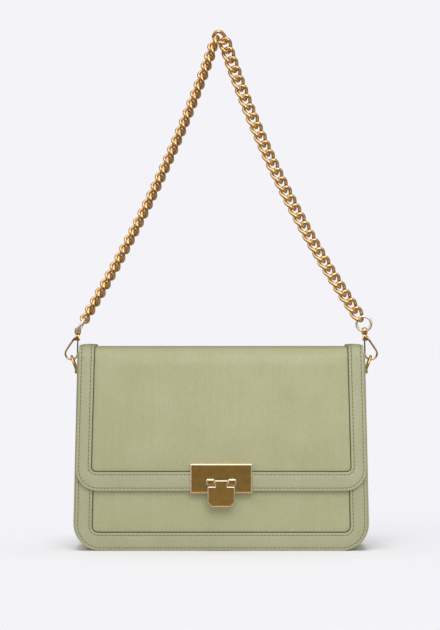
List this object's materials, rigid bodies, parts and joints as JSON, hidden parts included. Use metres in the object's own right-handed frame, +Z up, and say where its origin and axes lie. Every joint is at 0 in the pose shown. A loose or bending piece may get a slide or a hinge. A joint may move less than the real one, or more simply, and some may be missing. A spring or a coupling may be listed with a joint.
{
  "type": "chain shoulder bag",
  "caption": "Structured leather shoulder bag with a folding flap, a lock plate with a flip-up tongue, and a curb-link chain strap on swivel snap hooks at its sides.",
  "frame": {"origin": "middle of the base, on the surface that the bag stands on", "axes": "+Z up, the front with the flap and lock towards -Y, the bag's width along X"},
  "size_m": [0.2888, 0.0867, 0.4729],
  "materials": {
    "leather": "fine pebble grain, semi-matt",
    "lining": "plain woven",
    "board": "plain sheet",
    "magnet": "nickel plated",
    "steel": "plain",
    "gold": "polished, light gold"
  },
  "bodies": {
    "body": {"front_panel": "leather", "front_band": "leather", "front_board": "board", "front_lining": "lining", "back_panel": "leather", "back_board": "board", "back_lining": "lining", "gusset": "leather", "gusset_lining": "lining", "base_board": "board", "catch_magnet": "magnet", "flap_rear_panel": "leather", "flap_rear_band": "leather", "side_anchor_left": "gold", "anchor_rivets_left": "gold", "rivet_washers_left": "steel", "side_anchor_right": "gold", "anchor_rivets_right": "gold", "rivet_washers_right": "steel"},
    "flap_top": {"flap_top_panel": "leather", "flap_top_band": "leather", "flap_top_lining": "lining"},
    "flap_front": {"flap_panel": "leather", "flap_band": "leather", "flap_board": "board", "flap_lining": "lining", "flap_magnet": "magnet", "lock_front_plate": "gold", "lock_back_plate": "gold", "lock_screws": "steel", "hinge_pin": "gold"},
    "tongue": {"tongue": "gold"},
    "strap": {"swivel_eye_left": "gold", "end_ring_left": "gold", "chain_links_left": "gold", "swivel_eye_right": "gold", "end_ring_right": "gold", "chain_links_right": "gold"},
    "ring_left": {"side_ring_left": "gold"},
    "hook_left": {"hook_left": "gold", "gate_pin_left": "gold"},
    "gate_left": {"hook_gate_left": "gold"},
    "ring_right": {"side_ring_right": "gold"},
    "hook_right": {"hook_right": "gold", "gate_pin_right": "gold"},
    "gate_right": {"hook_gate_right": "gold"}
  },
  "joints": [
    {"name": "flap_lift", "type": "hinge", "parent": "body", "child": "flap_top", "pos_m": [0, 0.009, 0.1851], "axis": [-1, 0, 0], "range_deg": [0, 80]},
    {"name": "flap_fold", "type": "hinge", "parent": "flap_top", "child": "flap_front", "pos_m": [0, -0.0421, 0.1851], "axis": [-1, 0, 0], "range_deg": [0, 90]},
    {"name": "tongue_flip", "type": "hinge", "parent": "flap_front", "child": "tongue", "pos_m": [0, -0.0464, 0.0624], "axis": [-1, 0, 0], "range_deg": [0, 100]},
    {"name": "strap_swing", "type": "hinge", "parent": "body", "child": "strap", "pos_m": [0, 0.018, 0.17106], "axis": [-1, 0, 0], "range_deg": [0, 90]},
    {"name": "ring_tilt_left", "type": "hinge", "parent": "body", "child": "ring_left", "pos_m": [-0.13244, 0.018, 0.1601], "axis": [0, -1, 0], "range_deg": [-3, 3]},
    {"name": "hook_swivel_left", "type": "hinge", "parent": "strap", "child": "hook_left", "pos_m": [-0.13193, 0.01691, 0.19513], "axis": [0, -0.0454, 0.999], "range_deg": [-6, 6]},
    {"name": "gate_open_left", "type": "hinge", "parent": "hook_left", "child": "gate_left", "pos_m": [-0.13193, 0.01706, 0.19184], "axis": [0, 0.999, 0.0454], "range_deg": [0, 6.5], "stiffness_Nm_per_rad": 0.01, "springref_deg": -8.59},
    {"name": "ring_tilt_right", "type": "hinge", "parent": "body", "child": "ring_right", "pos_m": [0.13244, 0.018, 0.1601], "axis": [0, 1, 0], "range_deg": [-3, 3]},
    {"name": "hook_swivel_right", "type": "hinge", "parent": "strap", "child": "hook_right", "pos_m": [0.13193, 0.01691, 0.19513], "axis": [0, -0.0454, 0.999], "range_deg": [-6, 6]},
    {"name": "gate_open_right", "type": "hinge", "parent": "hook_right", "child": "gate_right", "pos_m": [0.13193, 0.01706, 0.19184], "axis": [0, -0.999, -0.0454], "range_deg": [0, 6.5], "stiffness_Nm_per_rad": 0.01, "springref_deg": -8.59}
  ]
}
